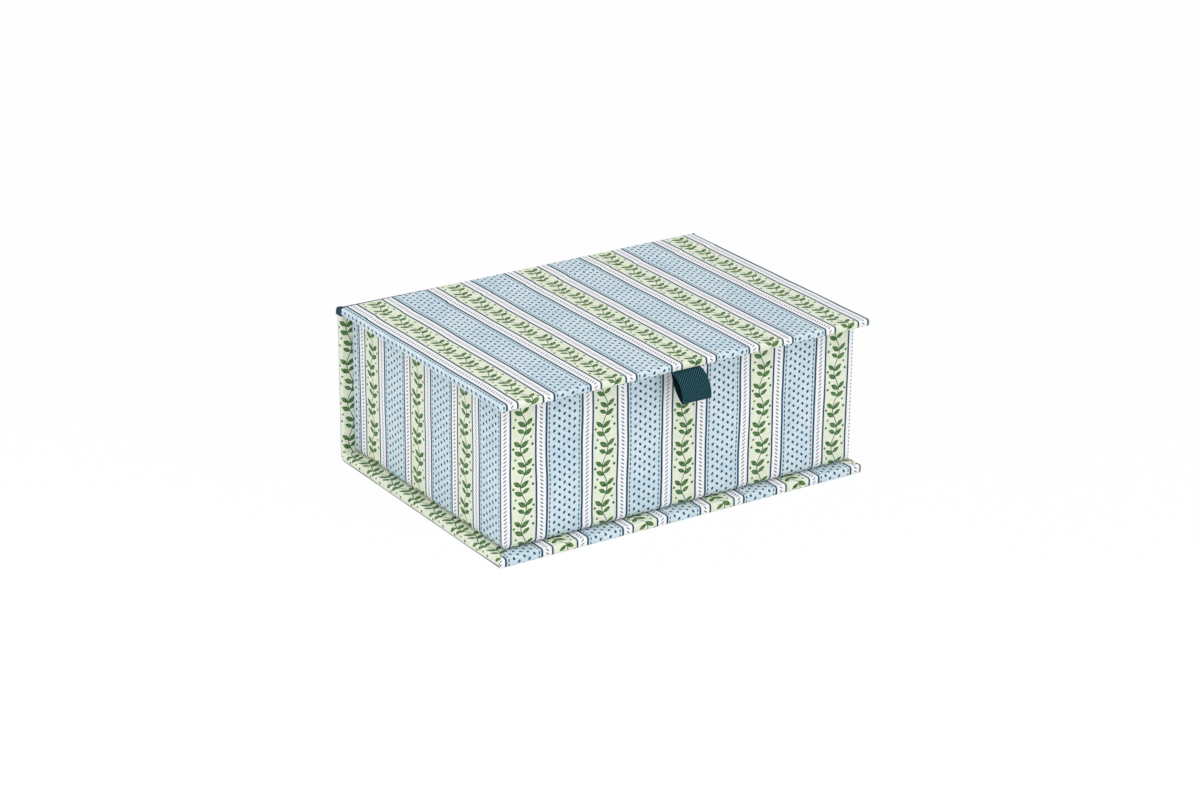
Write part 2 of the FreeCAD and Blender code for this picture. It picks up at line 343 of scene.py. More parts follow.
boardLook = {
    "grey": srgb(142, 134, 122), "pale": srgb(176, 168, 154), "dark": srgb(112, 106, 98),
    "pulpNoise": (900.0, 5.0, 0.65), "pulpCut": (0.4, 0.66),
    "layerStretch": (1, 1, 9), "layerNoise": (240.0, 3.0), "layerCut": (0.5, 0.68), "layer": 0.4,
    "bump": {"Strength": 0.35, "Distance": 0.2 * mm}, "roughness": 0.8, "pulpRough": 0.1, "gloss": 0.25,
}


def greyBoard():
    # grey bookbinding board, pressed from flecked pulp
    material, wire = newMaterial("greyBoard")
    b = boardLook
    place = wire.node("ShaderNodeTexCoord", {}, {}, "Object")
    pulp = wire.noise(place, *b["pulpNoise"])
    pressed = wire.node("ShaderNodeMapping", {}, {"Vector": place, "Scale": b["layerStretch"]})
    layer = wire.noise(pressed, *b["layerNoise"])
    colour = pulp.step(*b["pulpCut"]).blend(b["grey"], b["pale"])
    colour = (layer.step(*b["layerCut"]) * b["layer"]).blend(colour, b["dark"])
    finishMaterial(wire, b, colour, pulp * b["pulpRough"], pulp + layer)
    return material


# in millimetres, as the twill below
clothLook = {
    "thread": 0.46, "dark": srgb(20, 45, 60), "light": srgb(48, 84, 102),
    "slubNoise": (0.8, 3.0), "slubShift": 0.12, "patchNoise": (2.4, 3.0),
    "overShade": 0.55, "patchShade": 0.5, "slubShade": 0.5, "shadeCut": (0.15, 1.0),
    "bump": {"Strength": 0.5, "Distance": 0.12 * mm}, "roughness": 0.72, "overRough": 0.12,
    "gloss": 0.12, "sheen": 0.06, "sheenRough": 0.4,
}


def bookCloth():
    # plain-woven cloth, threads over and under
    material, wire = newMaterial("bookCloth")
    c = clothLook
    flat, across, along = inMillimetres(wire, wire.node("ShaderNodeUVMap", {"uv_map": "weave"}))
    turn = 2 * math.pi / c["thread"]
    slub = wire.noise(flat, *c["slubNoise"]) - 0.5
    warp = ((across + slub * c["slubShift"]) * turn).sine()
    weft = ((along + slub * c["slubShift"]) * turn).sine()
    over = warp * weft * 0.5 + 0.5
    patch = wire.noise(flat, *c["patchNoise"])
    shade = over * c["overShade"] + patch * c["patchShade"] + slub * c["slubShade"]
    colour = shade.step(*c["shadeCut"]).blend(c["dark"], c["light"])
    finishMaterial(wire, c, colour, over * c["overRough"], over + slub,
                   {"Sheen Weight": c["sheen"], "Sheen Roughness": c["sheenRough"]})
    return material


twill = {
    "pitch": 1.5, "rise": 0.95, "thread": 0.34, "threadAcross": 0.9, "threadAlong": 1.1,
    "dark": srgb(2, 16, 22), "mid": srgb(38, 84, 96), "light": srgb(74, 124, 138),
    "slubNoise": (1.7, 3.0, 0.6),
    "paleStretch": (0.5, 2.8, 1), "paleNoise": (1.0, 2.0), "paleCut": (0.56, 0.7),
    "ribShade": 0.75, "threadShade": 0.2, "slubShade": 0.25, "shadeCut": (0.3, 0.9), "pale": 0.45,
    # loopShade and loopShadeCut: painted shade, how far the face inside the loop is darkened towards the dark
    # thread
    "loopShade": 0.75, "loopShadeCut": (0.2, 0.4),
    "threadRise": 0.4, "bump": {"Strength": 0.45, "Distance": 0.14 * mm},
    "roughness": 0.55, "slubRough": 0.15, "gloss": 0.08,
}


def ribbonTwill():
    # fine twill: slanting ribs with the odd paler thread, and painted shade darkening it inside the loop
    material, wire = newMaterial("ribbonTwill")
    t = twill
    weave = wire.node("ShaderNodeAttribute", {"attribute_name": "weave"}, {}, "Vector")
    flat, across, along = inMillimetres(wire, weave)
    rib = ((across + along * t["rise"]) * (2 * math.pi / t["pitch"])).sine() * 0.5 + 0.5
    thread = across * t["threadAcross"] - along * t["threadAlong"]
    thread = (thread * (2 * math.pi / t["thread"])).sine() * 0.5 + 0.5
    slub = wire.noise(flat, *t["slubNoise"])
    pale = wire.node("ShaderNodeMapping", {}, {"Vector": flat, "Scale": t["paleStretch"]})
    pale = wire.noise(pale, *t["paleNoise"]).step(*t["paleCut"])
    shade = rib * t["ribShade"] + thread * t["threadShade"] + slub * t["slubShade"]
    colour = shade.step(*t["shadeCut"]).blend(t["dark"], t["mid"])
    colour = (pale * rib * t["pale"]).blend(colour, t["light"])
    # painted shade: the face inside the loop is darkened towards the dark thread colour
    loopShade = wire.node("ShaderNodeAttribute", {"attribute_name": "loopShade"}, {}, "Fac")
    colour = (loopShade.step(*t["loopShadeCut"]) * t["loopShade"]).blend(colour, t["dark"])
    finishMaterial(wire, t, colour, slub * t["slubRough"], rib + thread * t["threadRise"])
    return material


stripedPaper = printedPaper()
paperBack = plainPaper("paperBack", srgb(236, 233, 226), srgb(226, 222, 212))
liningPaper = plainPaper("liningPaper", srgb(240, 234, 219), srgb(228, 220, 201))
boardFinish = greyBoard()
clothFinish = bookCloth()
twillFinish = ribbonTwill()
print("finishes made")


def stops(*runs):
    # stations from runs of (from, to, count), each end once
    places = []
    for low, high, count in runs:
        places += list(np.linspace(low, high, count + 1))[1 if places else 0:]
    return np.array(places)


def smooth(value):
    value = np.clip(value, 0, 1)
    return value * value * (3 - 2 * value)


def joined(*columns):
    # points from their coordinates, spread to one shape
    return np.stack(np.broadcast_arrays(*columns), -1)


def refit(places, last, newLast):
    # the same stations with the last one moved
    return places[0] + (places - places[0]) * (newLast - places[0]) / (last - places[0])


meshing = {"joinWithin": 0.002 * mm, "sharpAngle": 38}


def sheetMesh(name, patches, facing, uvName, gauge, materials):
    # joins patches of (points, flat coordinates, fold, faces left out) into one sheet as thick as gauge says,
    # lying behind the surface whose first face looks towards facing
    corners, faces, flats, folds = [], [], [], []
    for points, flat, fold, leftOut in patches:
        rows, columns = points.shape[:2]
        first = len(corners)
        corners += points.reshape(-1, 3).tolist()
        folds += np.broadcast_to(fold, (rows, columns)).ravel().tolist()
        flat = flat.reshape(-1, 2)
        for i in range(rows - 1):
            for j in range(columns - 1):
                if leftOut is not None and leftOut[i, j]:
                    continue
                here, above = i * columns + j, (i + 1) * columns + j
                quad = (here, here + 1, above + 1, above)
                faces.append([first + q for q in quad])
                flats += [flat[q] for q in quad]
    mesh = bpy.data.meshes.new(name)
    mesh.from_pydata(corners, [], faces)
    layer = mesh.uv_layers.new(name=uvName)
    layer.data.foreach_set("uv", np.array(flats, np.float32).ravel())
    mesh.attributes.new("fold", "FLOAT", "POINT").data.foreach_set("value", np.array(folds, np.float32))
    work = bmesh.new()
    work.from_mesh(mesh)
    bmesh.ops.remove_doubles(work, verts=work.verts, dist=meshing["joinWithin"])
    bmesh.ops.dissolve_degenerate(work, edges=work.edges, dist=meshing["joinWithin"])
    bmesh.ops.recalc_face_normals(work, faces=work.faces)
    work.faces.ensure_lookup_table()
    if work.faces[0].normal.dot(Vector(facing)) < 0:
        bmesh.ops.reverse_faces(work, faces=work.faces)
    work.to_mesh(mesh)
    work.free()
    piece = placed(name, mesh)
    for material in materials:
        mesh.materials.append(material)
    thick = piece.modifiers.new("gauge", "SOLIDIFY")
    thick.thickness = gauge
    thick.offset = -1.0
    thick.material_offset = len(materials) - 1
    thick.material_offset_rim = len(materials) - 1
    return settle(piece)


def settle(piece):
    # modifiers made real, smooth except at true corners
    view = bpy.context.evaluated_depsgraph_get()
    mesh = bpy.data.meshes.new_from_object(piece.evaluated_get(view))
    piece.modifiers.clear()
    piece.data = mesh
    mesh.shade_smooth()
    mesh.set_sharp_from_angle(angle=math.radians(meshing["sharpAngle"]))
    return piece


# how every board is covered
covering = {
    "paper": 0.25 * mm, "cloth": 0.35 * mm, "clothInset": 3 * mm, "edge": 1.3 * mm, "turnIn": 12 * mm,
    "turnStops": (8 * mm, 5 * mm, 2.7 * mm), "frontStop": 1 * mm, "stopEase": 0.1 * mm,
    "ridgeRamp": 1.5 * mm, "ridgeEase": 0.2 * mm,
    "mitreFrom": 2 * mm, "mitreDip": 0.06 * mm, "cornerFold": 0.6,
    "roundSteps": 6, "cornerSteps": 6, "fieldSteps": 12, "middleSteps": 4, "ridgeSteps": 6, "lapSteps": 4,
}
clothHalf = lidHigh.x - covering["clothInset"]


def paperSheet(name, patches, facing):
    return sheetMesh(name, patches, facing, "print", covering["paper"], [stripedPaper, paperBack])


def clothSheet(name, patches, facing):
    return sheetMesh(name, patches, facing, "weave", covering["cloth"], [clothFinish])


def slabProfile(thick, *moreStops):
    # round a board's edge, from the turn-in's inner edge to the flat face: inset, depth, run, fold
    edge = covering["edge"]
    quarter, side = edge * math.pi / 2, thick - 2 * edge
    turnStops = (covering["turnIn"], *covering["turnStops"], *moreStops, edge)
    rows = [(inset, thick, 2 * quarter + side + inset - edge, 0.0) for inset in turnStops]
    angles = stops((0, math.pi / 2, covering["roundSteps"]))
    rows += [(edge - edge * math.sin(a), thick - edge + edge * math.cos(a), 2 * quarter - edge * a + side,
              math.sin(2 * a)) for a in angles[1:]]
    rows += [(edge - edge * math.cos(a), edge - edge * math.sin(a), quarter - edge * a, math.sin(2 * a))
             for a in angles]
    return np.array(rows)


def ridgeStops(ridge):
    # where the step over the cloth's edge ends and where it starts
    return ridge + covering["ridgeEase"], ridge - covering["ridgeRamp"]


def acrossStops(low, high, middle):
    # stations across a cover, close together where the cloth's sides lie under it
    edge, field, ridge = covering["edge"], covering["fieldSteps"], covering["ridgeSteps"]
    outer, inner = clothHalf + covering["ridgeRamp"], clothHalf - covering["ridgeEase"]
    return stops((low.x + edge, -outer, 1), (-outer, -inner, ridge), (-inner, middle[0], field),
                 (*middle, covering["middleSteps"]),
                 (middle[1], inner, field), (inner, outer, ridge), (outer, high.x - edge, 1))


def leftPrint(low, run, draw):
    # where the print lies round the left edge of a board, pulled towards its flat face
    quarter = covering["edge"] * math.pi / 2
    return low[0] + covering["edge"] - run - draw * smooth(run / quarter)


def slabPatches(low, high, profile, xStops, yStops, faceUp, phase, lift, slit=None, leftDraw=0.0):
    # the covering of one board, open at the back; low and high are its outer corners
    edge = covering["edge"]
    face = high[2] if faceUp else low[2]
    way = -1 if faceUp else 1
    patches = []

    def patch(x, y, depth, s, t, fold, leftOut=None):
        x, y, depth, s, t, fold = np.broadcast_arrays(x, y, depth, s, t, fold)
        z = face + way * depth
        patches.append((joined(x, y, z), joined(s - phase, t), fold, leftOut))

    inset, depth, run, fold = (profile[:, i:i + 1] for i in range(4))
    drawn = leftPrint(low, run, leftDraw)
    reach = np.maximum(inset, edge)
    # a faint groove where two turn-ins meet
    dip = np.where(inset > covering["mitreFrom"], covering["mitreDip"], 0.0)
    ys = np.concatenate([refit(yStops, low[1] + edge, low[1] + r)[None] for r in reach[:, 0]])
    half = (low[0] + high[0]) / 2
    xs = half + (xStops[None] - half) * (high[0] - reach - half) / (high[0] - edge - half)
    leftOut = None
    if slit:
        # no paper between left and right, from near to far behind the front edge
        left, right, near, far = slit
        ease = covering["stopEase"]
        xs = np.where((xStops >= left - ease) & (xStops <= right + ease), xStops, xs)
        middles = (xStops[1:] + xStops[:-1]) / 2
        rows = (inset[1:, 0] + inset[:-1, 0]) / 2
        below = (rows > near) & (rows < far) & (depth[1:, 0] > edge * 2)
        leftOut = below[:, None] & ((middles > left) & (middles < right))[None]
    endDip = np.zeros_like(ys)
    endDip[:, -1:] = dip
    patch(low[0] + inset, ys, depth - endDip, drawn, ys, fold)
    patch(high[0] - inset, ys, depth - endDip, high[0] - edge + run, ys, fold)
    endDip = np.zeros_like(xs)
    endDip[:, :1] = dip
    endDip[:, -1:] = dip
    patch(xs, low[1] + inset, depth - endDip, xs, low[1] + edge - run, fold, leftOut)
    # rounded corners, each half printed with the side next to it
    bow = np.maximum(edge - inset, 0)
    for sign, edgeX, sidePrint in ((1, low[0], drawn), (-1, high[0], high[0] - edge + run)):
        for start, stop, onSide in ((0, 45, True), (45, 90, False)):
            angle = np.radians(np.linspace(start, stop, covering["cornerSteps"] // 2 + 1))[None]
            x = edgeX + sign * (reach - bow * np.cos(angle))
            y = low[1] + reach - bow * np.sin(angle)
            s = sidePrint if onSide else x
            t = y if onSide else low[1] + edge - run
            patch(x, y, depth - dip, s, t, np.maximum(fold, covering["cornerFold"]))
    # the flat face, lifted where cloth lies under the paper
    x, y = np.meshgrid(xStops, yStops)
    patch(x, y, -lift(x, y), x, y, 0.0)
    return patches


def raised(across, along, start):
    # the step that the hinge cloth makes under the paper
    ramp = covering["ridgeRamp"]
    side = smooth((clothHalf - np.abs(across)) / ramp + 1)
    return covering["cloth"] * side * smooth((along - start) / ramp + 1)


def dress(piece, bodies, slot, *nodes, between=None):
    # rides on one body, or, given between, keeps its place baked into its mesh and rides on none
    if between:
        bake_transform(piece)
    else:
        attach(piece, bodies)
    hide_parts(*nodes)
    print(piece.name + ":", len(piece.data.polygons), "faces")


# slit: how far behind the front edge the ribbon goes up through the paper
lidCover = {"phase": 0.9 * mm, "slitEase": 0.2 * mm, "slit": (1.5 * mm, 2.7 * mm), "faceSteps": 16}


def coverLid():
    c = lidCover
    high = Vector((lidHigh.x, lidHigh.y, lidBoardHigh.z + covering["paper"]))
    ridge = hingeLow.y
    lap, step = ridgeStops(ridge)
    front = lidLow.y + covering["edge"]
    ribbon = (anchorLow.x - c["slitEase"], anchorHigh.x + c["slitEase"])
    xStops = acrossStops(lidLow, high, ribbon)
    yStops = stops((high.y, lap, covering["lapSteps"]), (lap, step, covering["ridgeSteps"]),
                   (step, front + covering["frontStop"], c["faceSteps"]),
                   (front + covering["frontStop"], front, 1))
    profile = slabProfile(high.z - lidLow.z, c["slit"][0])
    patches = slabPatches(lidLow, high, profile, xStops, yStops, True, c["phase"],
                          lambda x, y: raised(x, y, ridge), ribbon + c["slit"])
    piece = paperSheet("lid_cover", patches, (0, 0, -1))
    dress(piece, "lid", "striped_paper", "lid_cover_paper")


# leftDraw: how far the print is pulled down the left edge
# ridgeDepth: how far round the spine's edge the hinge cloth's step goes
caseCover = {"phase": -26.5 * mm, "leftDraw": 2.1 * mm, "middle": (-20 * mm, 20 * mm),
             "ridgeDepth": 0.14 * mm, "faceSteps": 14, "heelSteps": 8, "spineSteps": 10}


def coverCase():
    # one sheet under the base, round the heel and up the spine
    c = caseCover
    edge = covering["edge"]
    low, high = baseLow, baseHigh
    ridge = hingeLow.z
    front = low.y + edge
    xStops = acrossStops(low, high, c["middle"])
    yStops = stops((high.y, front + covering["frontStop"], c["faceSteps"]),
                   (front + covering["frontStop"], front, 1))
    patches = slabPatches(low, high, slabProfile(high.z - low.z), xStops, yStops, False, c["phase"],
                          lambda x, y: 0 * x, leftDraw=c["leftDraw"])

    # the section across the spine, carried round the heel from the back edge of the base
    thick = spineHigh.y - spineLow.y + 2 * covering["paper"]
    inset, depth, run, fold = slabProfile(thick).T
    x = np.concatenate([low.x + inset, xStops[1:-1], (high.x - inset)[::-1]])
    s = np.concatenate([leftPrint(low, run, c["leftDraw"]), xStops[1:-1], (high.x - edge + run)[::-1]])
    flat = np.zeros(len(xStops) - 2)
    depth = np.concatenate([depth, flat, depth[::-1]])
    fold = np.concatenate([fold, flat, fold[::-1]])
    axisZ = spineLow.z
    outer = axisZ - depth
    turns = np.linspace(0, math.pi / 2, c["heelSteps"] + 1)[:, None]
    lap, step = ridgeStops(ridge)
    heights = stops((axisZ, step, c["spineSteps"]), (step, lap, covering["ridgeSteps"]),
                    (lap, spineHigh.z, covering["lapSteps"]))[1:, None]
    swell = raised(x[None], heights, ridge) * (depth[None] < c["ridgeDepth"])
    heelY, heelZ = high.y + outer * np.sin(turns), axisZ - outer * np.cos(turns)
    heel = joined(x[None], heelY, heelZ)
    back = joined(x[None], high.y + outer + swell, heights)
    t = np.concatenate([high.y + axisZ * turns, high.y + axisZ * math.pi / 2 + heights - axisZ])
    flatSheet = joined(s[None] - c["phase"], t)
    patches.append((np.concatenate([heel, back]), flatSheet, fold[None], None))
    piece = paperSheet("case_cover", patches, (0, 0, 1))
    dress(piece, "case", "striped_paper", "base_cover_paper", "spine_cover_paper")


# leftEase: the print is a little closer together on the left wall
trayWrap = {
    "phase": 1.85 * mm, "leftEase": 1.026, "wall": 2.5 * mm, "rimRound": 0.8 * mm, "footRound": 4.5 * mm,
    "cornerFold": 0.5, "sideSteps": 12, "footSteps": 12, "underSteps": 3, "wallSteps": 8, "innerSteps": 3,
}


def wrapProfile():
    # up the outside of a wall, from under the floor to inside the rim: inset, height, run, fold
    c = trayWrap
    edge, turnIn = covering["edge"], covering["turnIn"]
    rim, lip, foot = c["rimRound"], c["wall"] - c["rimRound"], c["footRound"]
    quarter = edge * math.pi / 2
    bottom, top = trayLow.z, trayHigh.z
    angles = stops((0, math.pi / 2, covering["roundSteps"]))
    under = bottom + foot - foot * math.pi / 2
    rows = [(inset, bottom, under - (inset - foot), 0.0) for inset in stops((turnIn, foot, c["underSteps"]))]
    rows += [(foot - foot * math.sin(a), bottom + foot - foot * math.cos(a), under + foot * a, 0.0)
             for a in stops((0, math.pi / 2, c["footSteps"]))[1:]]
    rows += [(0.0, z, z, 0.0) for z in stops((bottom + foot, top - edge, c["wallSteps"]))[1:]]
    rows += [(edge - edge * math.cos(a), top - edge + edge * math.sin(a), top - edge + edge * a,
              math.sin(2 * a)) for a in angles[1:]]
    over = top - 2 * edge + quarter + lip
    rows += [(lip + rim * math.sin(a), top - rim + rim * math.cos(a), over + rim * a, math.sin(2 * a))
             for a in angles]
    inner = over + rim * math.pi / 2 + top - rim
    rows += [(c["wall"], z, inner - z, 0.0) for z in stops((top - rim, top - turnIn, c["innerSteps"]))[1:]]
    return (column[:, None] for column in np.array(rows).T)


def wrapTray():
    # one strip round the four walls, turned over the rim and under the floor
    c = trayWrap
    edge = covering["edge"]
    quarter = edge * math.pi / 2
    inset, height, t, fold = wrapProfile()
    reach = np.maximum(inset, edge)
    bow = np.maximum(edge - inset, 0)
    left, right, front, back = trayLow.x, trayHigh.x, trayLow.y, trayHigh.y
    long, deep = right - left - 2 * edge, back - front - 2 * edge
    patches = []

    def patch(x, y, s, soft):
        x, y, z, s, across, soft = np.broadcast_arrays(x, y, height, s, t, soft)
        patches.append((joined(x, y, z), joined(s - c["phase"], across), soft, None))

    share = np.linspace(0, 1, c["sideSteps"] + 1)[None]
    xs = left + reach + share * (right - left - 2 * reach)
    ys = front + reach + share * (back - front - 2 * reach)
    patch(xs, front + inset, left + edge + share * long, fold)
    patch(left + inset, ys, left + edge - quarter - share * deep * c["leftEase"], fold)
    patch(right - inset, ys, right - edge + quarter + share * deep, fold)
    patch(xs, back - inset, right - edge + 2 * quarter + deep + (1 - share) * long, fold)
    turn = np.linspace(0, math.pi / 2, covering["cornerSteps"] + 1)[None]
    corners = [(left, 1, front, 1, left + edge - edge * (math.pi / 2 - turn)),
               (right, -1, front, 1, right - edge + edge * (math.pi / 2 - turn)),
               (right, -1, back, -1, right - edge + quarter + deep + edge * turn),
               (left, 1, back, -1, left + edge - quarter - deep * c["leftEase"] - edge * turn)]
    for x, wayX, y, wayY, s in corners:
        patch(x + wayX * (reach - bow * np.cos(turn)), y + wayY * (reach - bow * np.sin(turn)), s,
              np.maximum(fold, c["cornerFold"]))
    piece = paperSheet("tray_wrap", patches, (0, 0, -1))
    dress(piece, "case", "striped_paper", "tray_wrap_paper")


# the cloth hinge: a quarter bend from the spine's top to the back of the lid, standing out at its left end
hinge = {
    "swell": 0.45 * mm, "swellRun": 90 * mm, "dip": 0.2 * mm, "pressIn": 0.5 * mm, "pressFrom": 80,
    "endOver": 0.7 * mm, "endSwell": 0.7 * mm, "endRun": 3.2 * mm, "endShort": 0.55 * mm,
    "endTuck": 2 * mm, "tuckGap": 0.42 * mm, "tuckDish": 0.5 * mm, "dishPower": 3,
    "creaseDepth": 0.35 * mm, "creaseAt": 34, "creaseSpread": 9, "creaseAtRim": 0.6, "rimPower": 8,
    "blendEnd": (0.55 * mm, 1.3 * mm), "liningShare": 0.95,
    "bendSteps": 14, "legSteps": 6, "tuckRings": 6, "acrossSteps": 24, "outerSteps": 6,
    "liningSteps": 20, "sideSteps": 2, "capSteps": 3, "foldSteps": 4, "flatSteps": 3,
}
bendY, bendZ = lidHigh.y, spineHigh.z
bendOuter = hingeHigh.y - bendY
clothLeft, clothRight = hingeLow.x - hinge["endOver"], hingeHigh.x
blendFrom = (0, spineHigh.y - covering["cloth"], bendZ)
blendTo = (0, bendY + hinge["blendEnd"][0], bendZ + hinge["blendEnd"][1])


def arc(centreY, centreZ, radius, start, end, steps):
    # points (y, z) on an arc, angles in degrees from +y towards +z
    angle = np.radians(np.linspace(start, end, steps + 1))
    return joined(centreY + radius * np.cos(angle), centreZ + radius * np.sin(angle))


def bendRadius(angle, x):
    # near the lid the cloth stands off a true quarter circle at its left end, and lies inside it elsewhere
    fromEnd = x - clothLeft
    near = smooth(1 - fromEnd / hinge["swellRun"])
    stand = (hinge["swell"] * near - hinge["dip"] * (1 - near)) * np.sin(2 * angle)
    stand = stand + hinge["endSwell"] * smooth(1 - fromEnd / hinge["endRun"])
    return bendOuter + stand * np.sin(angle)


def clothStrip(path, xStops, run=0.0):
    # a patch of cloth drawn out along X, its weave following the path
    path = np.array(path)
    length = run + np.concatenate([[0], np.cumsum(np.hypot(*np.diff(path, axis=0).T))])
    x = xStops[None]
    return (joined(x, path[:, :1], path[:, 1:]), joined(x, length[:, None]), 0.0, None), length[-1]


def layHinge():
    h = hinge
    gauge = covering["cloth"]
    across = (-clothHalf, clothHalf, h["acrossSteps"])
    inner = stops(across)
    outer = stops((clothLeft, -clothHalf, h["outerSteps"]), across, (clothHalf, clothRight, h["outerSteps"]))

    # outside: up the spine under its paper, round the bend and along the lid under its paper
    upSpine = joined(hingeHigh.y, stops((hingeLow.z, bendZ, h["legSteps"])))
    onLid = joined(stops((bendY, hingeLow.y, h["legSteps"])), hingeHigh.z)
    spinePatch, run = clothStrip(upSpine, inner)
    bendPatch, run = clothStrip(arc(bendY, bendZ, bendOuter, 0, 90, h["bendSteps"]), outer, run)
    lidPatch, run = clothStrip(onLid, inner, run)
    turn = np.radians(np.linspace(0, 90, h["bendSteps"] + 1))[:, None]
    radius = bendRadius(turn, outer)
    bendPatch[0][..., 1] = bendY + radius * np.cos(turn)
    bendPatch[0][..., 2] = bendZ + radius * np.sin(turn)
    cloth = clothSheet("hinge_cloth_outside", [spinePatch, bendPatch, lidPatch], (0, 1, 0))
    dress(cloth, ("case", "lid"), "book_cloth", "hinge_cloth", between=(blendFrom, blendTo))

    # inside: pressed into the bend, down the lid's back edge and along its underside
    across = (liningLow.x, liningHigh.x, h["liningSteps"])
    hidden = stops(across)
    wide = stops((clothLeft + h["endTuck"], liningLow.x, h["sideSteps"]), across,
                 (liningHigh.x, clothRight - h["endTuck"], h["sideSteps"]))
    press = h["pressIn"]
    low, high = lidBoardLow.z, bendZ + bendOuter - 2 * gauge - press
    edgeY = bendY + gauge
    turn = np.radians(np.linspace(0, h["pressFrom"], h["bendSteps"] + 1))
    radius = bendRadius(turn, clothRight) - 2 * gauge
    path = np.concatenate([arc(bendY, bendZ, radius, 0, h["pressFrom"], h["bendSteps"]),
                           arc(edgeY + press, high, press, 90, 180, h["foldSteps"])[1:],
                           joined(edgeY, stops((high, low, h["flatSteps"]))[1:-1]),
                           arc(bendY, low, gauge, 0, -90, h["foldSteps"])])
    edgePatch, run = clothStrip(path, wide)
    under = joined(stops((bendY, liningLow.y, h["legSteps"])), low - gauge)
    underPatch, run = clothStrip(under, hidden, run)
    lining = clothSheet("hinge_cloth_inside", [edgePatch, underPatch], (0, -1, 0))
    dress(lining, ("case", "lid"), "book_cloth", "hinge_lining_cloth", between=(blendFrom, blendTo))

    # the same cloth over the top of the spine and down behind the tray
    end = -clothLeft - h["endShort"]
    capped = stops((-end, liningLow.x, h["capSteps"]), across, (liningHigh.x, end, h["capSteps"]))
    over = joined(stops((spineHigh.y - gauge, spineLow.y, h["flatSteps"]))[:-1], bendZ + gauge)
    corner = arc(spineLow.y, bendZ, gauge, 90, 180, h["foldSteps"])
    topPatch, run = clothStrip(np.concatenate([over, corner]), capped)
    down = joined(spineLow.y - gauge, stops((bendZ, liningLow.z, h["legSteps"])))
    downPatch, run = clothStrip(down, hidden, run)
    onSpine = clothSheet("hinge_cloth_on_spine", [topPatch, downPatch], (0, 0, 1))
    dress(onSpine, "case", "book_cloth", "hinge_lining_cloth")

    # the folded ends of the bend, tucked in behind the lid
    ends = [tuckEnd("hinge_end_left", -1), tuckEnd("hinge_end_right", 1)]


def tuckEnd(name, side):
    # a quarter disc from the bend's middle to its cloth, dished and creased, with a rim turned in
    h = hinge
    share = np.linspace(0, 1, h["tuckRings"] + 1)[:, None]
    angle = np.radians(np.linspace(0, 90, h["bendSteps"] + 1))[None]
    end = clothLeft if side < 0 else clothRight
    radius = share * (bendRadius(angle, end) - covering["cloth"] - h["tuckGap"])
    crease = np.exp(-((np.degrees(angle) - h["creaseAt"]) / h["creaseSpread"]) ** 2) * share
    crease = crease * (1 - share ** h["rimPower"] * (1 - h["creaseAtRim"]))
    x = end - side * (h["tuckDish"] * (1 - share ** h["dishPower"]) + h["creaseDepth"] * crease)
    y = bendY + h["tuckGap"] + radius * np.cos(angle)
    z = bendZ + h["tuckGap"] + radius * np.sin(angle)
    flat = joined(y, z)
    face = (joined(x, y, z), flat, 0.0, None)
    patches = [face]
    for ring in (np.s_[-1, :], np.s_[:, 0], np.s_[:, -1]):
        rim = face[0][ring]
        tucked = rim * np.array([0, 1, 1]) + np.array([end - side * h["endTuck"], 0, 0])
        turned = np.stack([flat[ring], flat[ring] + h["endTuck"]])
        patches.append((np.stack([rim, tucked]), turned, 0.0, None))
    piece = clothSheet(name, patches, (side, 0, 0))
    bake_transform(piece)
    return piece


# the ribbon: one length, both ends glued into the lid, folded at the bottom of the pull
ribbonPull = {
    "lean": 37.0, "root": (lidLow.y + 0.95 * mm, pullTop - 0.399 * mm), "drop": 16.2 * mm,
    "bulge": 3.4 * mm, "backBulge": 1.9 * mm, "fold": 0.6 * mm, "gauge": 0.4 * mm, "blendOver": 2.4 * mm,
    "slitDepth": 0.1 * mm, "turnGauges": 1.5, "step": 0.25 * mm, "profileStep": 0.22 * mm,
    "ribHeight": 0.022 * mm, "edgeRound": 0.17 * mm,
    "edgeSteps": 3, "sideSteps": 24, "foldSteps": 8, "turnSteps": 5,
}


def throughPoints(first, middle, last, steps):
    # an arc (y, z) from first to last that passes through middle
    (ax, ay), (bx, by), (cx, cy) = first, middle, last
    d = 2 * (ax * (by - cy) + bx * (cy - ay) + cx * (ay - by))
    a2, b2, c2 = ax * ax + ay * ay, bx * bx + by * by, cx * cx + cy * cy
    ox = (a2 * (by - cy) + b2 * (cy - ay) + c2 * (ay - by)) / d
    oy = (a2 * (cx - bx) + b2 * (ax - cx) + c2 * (bx - ax)) / d
    radius = math.hypot(ax - ox, ay - oy)
    start, end = math.atan2(ay - oy, ax - ox), math.atan2(cy - oy, cx - ox)
    turn = (end - start + math.pi) % (2 * math.pi) - math.pi
    angle = start + np.linspace(0, turn, steps + 1)
    return joined(ox + radius * np.cos(angle), oy + radius * np.sin(angle))


def ribbonPath():
    # from the end glued in the lid, out through the slit, down the front, round the fold and back
    r = ribbonPull
    half = r["gauge"] / 2
    foot, fold = -r["drop"], r["fold"]
    front = throughPoints((-half, 0), (-r["bulge"], foot / 2), (-fold, foot), r["sideSteps"])
    back = throughPoints((fold, foot), (r["backBulge"], foot / 2), (half, 0), r["sideSteps"])
    loop = np.concatenate([front, arc(0, foot, fold, 180, 360, r["foldSteps"])[1:-1], back])
    lean = math.radians(r["lean"])
    y, z = loop.T
    loop = joined(r["root"][0] + y * math.cos(lean) + z * math.sin(lean),
                  r["root"][1] + z * math.cos(lean) - y * math.sin(lean))
    layers = []
    for count in (0, 1):
        inFront = anchorLow.y + half + count * r["gauge"]
        above = anchorHigh.z - half - count * r["gauge"]
        bend = (r["turnGauges"] - count) * r["gauge"]
        turn = arc(inFront + bend, above - bend, bend, 90, 180, r["turnSteps"])
        end = np.array([[anchorHigh.y, above]])
        layers.append(np.concatenate([end, turn, [[inFront, lidLow.z + r["slitDepth"]]]]))
    return np.concatenate([layers[0], loop, layers[1][::-1]])


